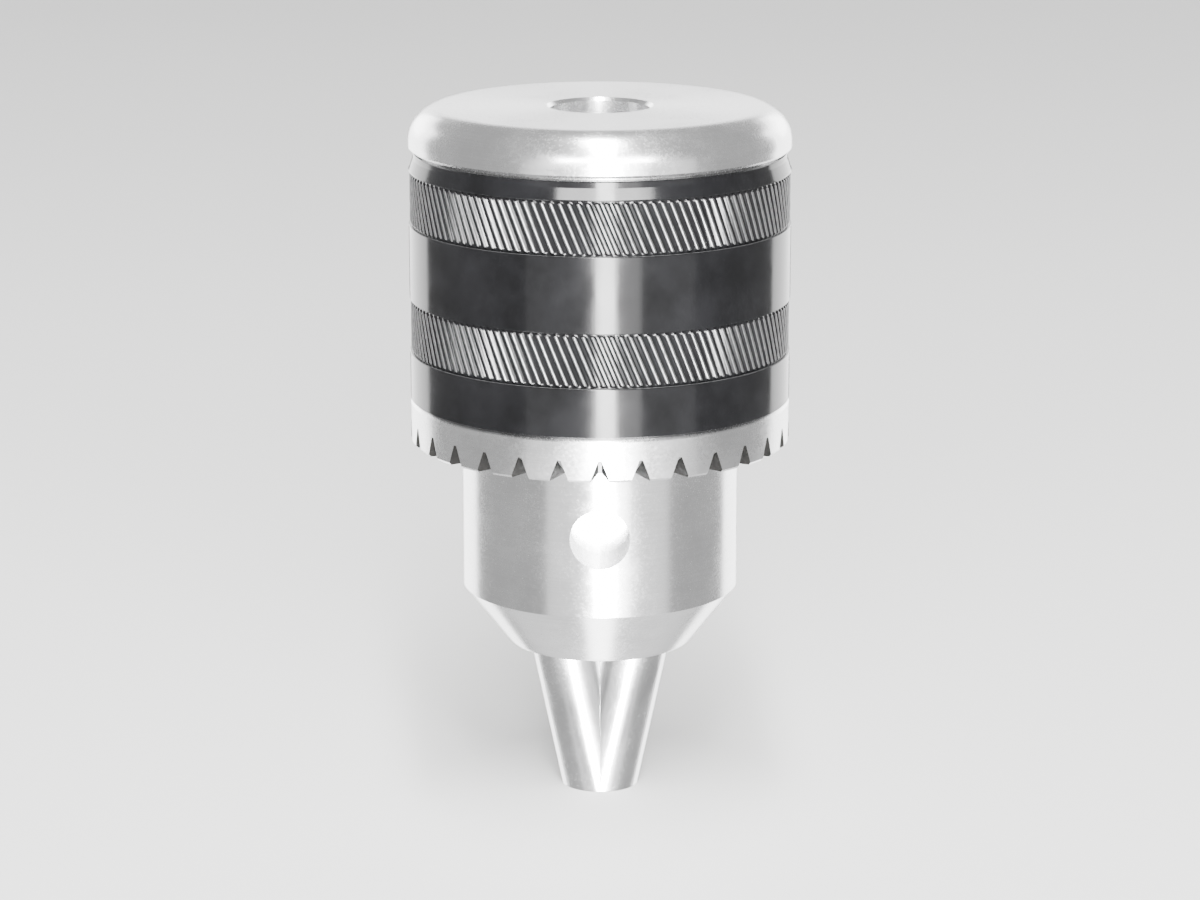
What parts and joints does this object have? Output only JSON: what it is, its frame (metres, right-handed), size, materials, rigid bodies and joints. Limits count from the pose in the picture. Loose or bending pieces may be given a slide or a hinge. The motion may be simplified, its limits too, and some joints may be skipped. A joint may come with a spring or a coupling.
{
  "type": "drill chuck",
  "caption": "Keyed drill chuck with a taper socket at the rear, a knurled black sleeve, a toothed ring for the key and leaning jaws driven by a split nut.",
  "frame": {"origin": "centre of the taper socket's mouth, on the rear face", "axes": "+Z along the spindle axis, out of the socket; the jaws point to -Z; jaw 1 is on the +Y side and a key hole faces -Y"},
  "size_m": [0.046, 0.046, 0.085],
  "materials": {
    "body_steel": "polished",
    "sleeve_black": "gloss",
    "ring_steel": "polished",
    "jaw_steel": "ground",
    "nut_steel": "satin",
    "race_steel": "ground",
    "ball_steel": "polished",
    "cage_brass": "satin"
  },
  "bodies": {
    "body": {"chuck_body": "body_steel", "upper_race": "race_steel"},
    "sleeve": {"sleeve_shell": "sleeve_black", "gear_ring": "ring_steel", "nut_half_a": "nut_steel", "nut_half_b": "nut_steel", "lower_race": "race_steel"},
    "bearing": {"ball_cage": "cage_brass", "ball_01": "ball_steel", "ball_02": "ball_steel", "ball_03": "ball_steel", "ball_04": "ball_steel", "ball_05": "ball_steel", "ball_06": "ball_steel", "ball_07": "ball_steel", "ball_08": "ball_steel", "ball_09": "ball_steel", "ball_10": "ball_steel", "ball_11": "ball_steel", "ball_12": "ball_steel", "ball_13": "ball_steel", "ball_14": "ball_steel", "ball_15": "ball_steel", "ball_16": "ball_steel", "ball_17": "ball_steel", "ball_18": "ball_steel", "ball_19": "ball_steel", "ball_20": "ball_steel", "ball_21": "ball_steel", "ball_22": "ball_steel", "ball_23": "ball_steel", "ball_24": "ball_steel"},
    "jaw_1": {"jaw_1": "jaw_steel"},
    "jaw_2": {"jaw_2": "jaw_steel"},
    "jaw_3": {"jaw_3": "jaw_steel"}
  },
  "joints": [
    {"name": "sleeve_turn", "type": "hinge", "parent": "body", "child": "sleeve", "pos_m": [0, 0, -0.036], "axis": [0, 0, -1], "range_deg": [0, 4680]},
    {"name": "bearing_turn", "type": "hinge", "parent": "body", "child": "bearing", "pos_m": [0, 0, -0.03], "axis": [0, 0, -1], "range_deg": [0, 2340]},
    {"name": "jaw_1_slide", "type": "slide", "parent": "body", "child": "jaw_1", "axis": [0, 0.225, 0.9744], "range_m": [0, 0.026]},
    {"name": "jaw_2_slide", "type": "slide", "parent": "body", "child": "jaw_2", "axis": [-0.1948, -0.1125, 0.9744], "range_m": [0, 0.026]},
    {"name": "jaw_3_slide", "type": "slide", "parent": "body", "child": "jaw_3", "axis": [0.1948, -0.1125, 0.9744], "range_m": [0, 0.026]}
  ],
  "couplings": [
    {"joint": "bearing_turn", "follows": "sleeve_turn", "ratio": 0.5},
    {"joint": "jaw_1_slide", "follows": "sleeve_turn", "m_per_rad": 0.00031831},
    {"joint": "jaw_2_slide", "follows": "sleeve_turn", "m_per_rad": 0.00031831},
    {"joint": "jaw_3_slide", "follows": "sleeve_turn", "m_per_rad": 0.00031831}
  ]
}
